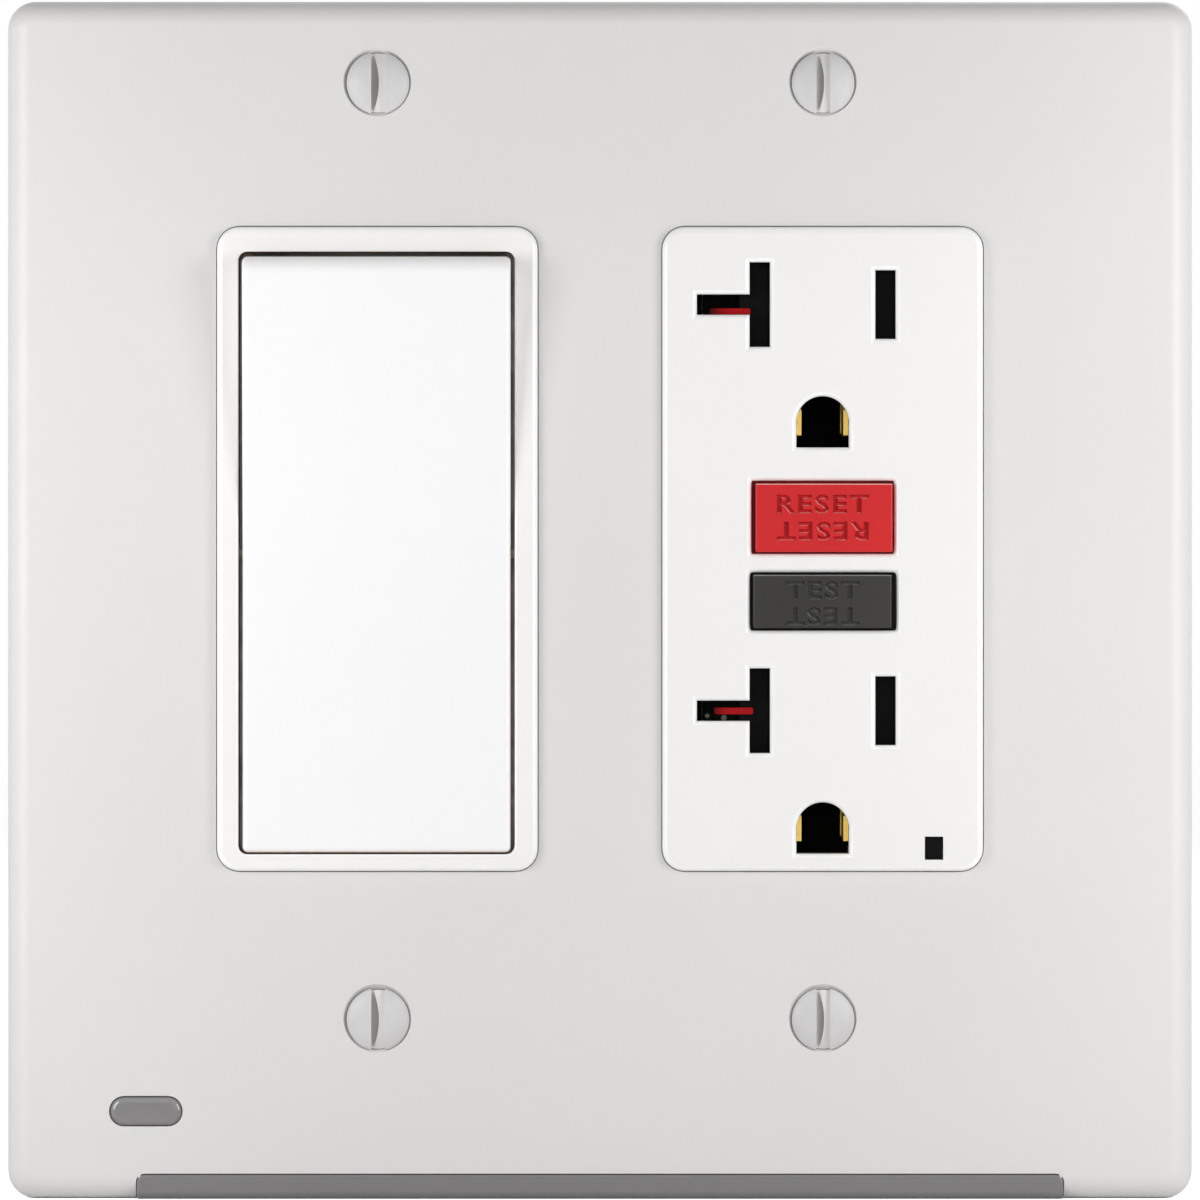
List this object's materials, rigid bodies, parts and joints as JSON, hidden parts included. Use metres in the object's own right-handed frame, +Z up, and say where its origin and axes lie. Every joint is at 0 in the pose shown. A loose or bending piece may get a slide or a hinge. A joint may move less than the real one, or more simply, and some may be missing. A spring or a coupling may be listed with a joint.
{
  "type": "night light wall plate",
  "caption": "Light grey two-gang wall plate with a built-in night light, fitted over a rocker switch and a duplex receptacle with test and reset buttons.",
  "frame": {"origin": "centre of the four box screw slots, on the wall's plane", "axes": "+X right, +Z up, the front faces -Y and the devices reach back along +Y into the wall"},
  "size_m": [0.1226, 0.0392, 0.1239],
  "materials": {
    "plate_plastic": "fine satin light grey",
    "painted_screw": "smooth light grey paint",
    "smoked_lens": "smoked, polished",
    "board": "green solder mask",
    "emitter": "clear resin over yellow",
    "cell": "polished",
    "cover_plastic": "satin",
    "steel": "zinc plated",
    "black_plastic": "satin",
    "capacitor": "dipped",
    "brass": "stamped",
    "device_plastic": "polished white",
    "paddle_plastic": "polished white",
    "spring_steel": "bright wire",
    "housing_plastic": "moulded",
    "green_screw": "green plated",
    "red_button": "satin",
    "dark_button": "satin",
    "coil": "varnished copper wire"
  },
  "bodies": {
    "root": {"wall_plate": "plate_plastic", "plate_screws": "painted_screw", "light_bar_lens": "smoked_lens", "sensor_lens": "smoked_lens", "light_board": "board", "light_emitters": "emitter", "photocell": "cell", "back_cover": "cover_plastic", "cover_screws": "steel", "slider_case": "steel", "dropper_capacitor": "capacitor", "left_contact_arm": "cover_plastic", "right_contact_arm": "cover_plastic", "left_contact_strip": "brass", "right_contact_strip": "brass", "switch_strap": "steel", "switch_bezel": "device_plastic", "rocker_spring": "spring_steel", "switch_housing": "housing_plastic", "switch_line_contact": "brass", "switch_load_contact": "brass", "switch_terminal_screws": "brass", "switch_ground_screw": "green_screw", "switch_rivets": "steel", "receptacle_strap": "steel", "receptacle_face": "device_plastic", "status_window": "black_plastic", "middle_frame": "black_plastic", "reset_spring": "spring_steel", "test_spring": "spring_steel", "upper_shutter_spring": "spring_steel", "lower_shutter_spring": "spring_steel", "hot_bus": "brass", "neutral_bus": "brass", "ground_bus": "brass", "clamp_plates": "steel", "brass_terminal_screws": "brass", "silver_terminal_screws": "steel", "receptacle_ground_screw": "green_screw", "receptacle_body": "housing_plastic", "receptacle_board": "board", "sensing_coils": "coil", "trip_coil": "coil", "board_capacitor": "capacitor", "body_screws": "steel"},
    "rocker": {"rocker_paddle": "paddle_plastic"},
    "lever": {"contact_lever": "brass"},
    "reset": {"reset_button": "red_button"},
    "test": {"test_button": "dark_button"},
    "upper_shutter_body": {"upper_shutter": "black_plastic"},
    "lower_shutter_body": {"lower_shutter": "black_plastic"},
    "slider": {"brightness_slider": "black_plastic"},
    "plunger": {"trip_plunger": "steel"}
  },
  "joints": [
    {"name": "rocker_tilt", "type": "hinge", "parent": "root", "child": "rocker", "pos_m": [-0.02302, -0.0044, -0.0004], "axis": [1, 0, 0], "range_deg": [-6, 0], "deforming": ["rocker_spring"]},
    {"name": "lever_tilt", "type": "hinge", "parent": "root", "child": "lever", "pos_m": [-0.02302, 0.011, -0.0004], "axis": [1, 0, 0], "range_deg": [0, 12]},
    {"name": "reset_press", "type": "slide", "parent": "root", "child": "reset", "axis": [0, 1, 0], "range_m": [0, 0.001], "stiffness_N_per_m": 600, "springref_m": -0.003, "deforming": ["reset_spring"]},
    {"name": "test_press", "type": "slide", "parent": "root", "child": "test", "axis": [0, 1, 0], "range_m": [0, 0.001], "stiffness_N_per_m": 600, "springref_m": -0.002, "deforming": ["test_spring"]},
    {"name": "upper_shutter_open", "type": "slide", "parent": "root", "child": "upper_shutter_body", "axis": [1, 0, 0], "range_m": [0, 0.0032], "stiffness_N_per_m": 120, "springref_m": -0.002, "deforming": ["upper_shutter_spring"]},
    {"name": "lower_shutter_open", "type": "slide", "parent": "root", "child": "lower_shutter_body", "axis": [1, 0, 0], "range_m": [0, 0.0032], "stiffness_N_per_m": 120, "springref_m": -0.002, "deforming": ["lower_shutter_spring"]},
    {"name": "brightness_slide", "type": "slide", "parent": "root", "child": "slider", "axis": [1, 0, 0], "range_m": [0, 0.004]},
    {"name": "plunger_pull", "type": "slide", "parent": "root", "child": "plunger", "axis": [0, 0, -1], "range_m": [0, 0.002], "stiffness_N_per_m": 40, "springref_m": -0.003}
  ],
  "couplings": [
    {"joint": "lever_tilt", "follows": "rocker_tilt", "ratio": -2}
  ]
}
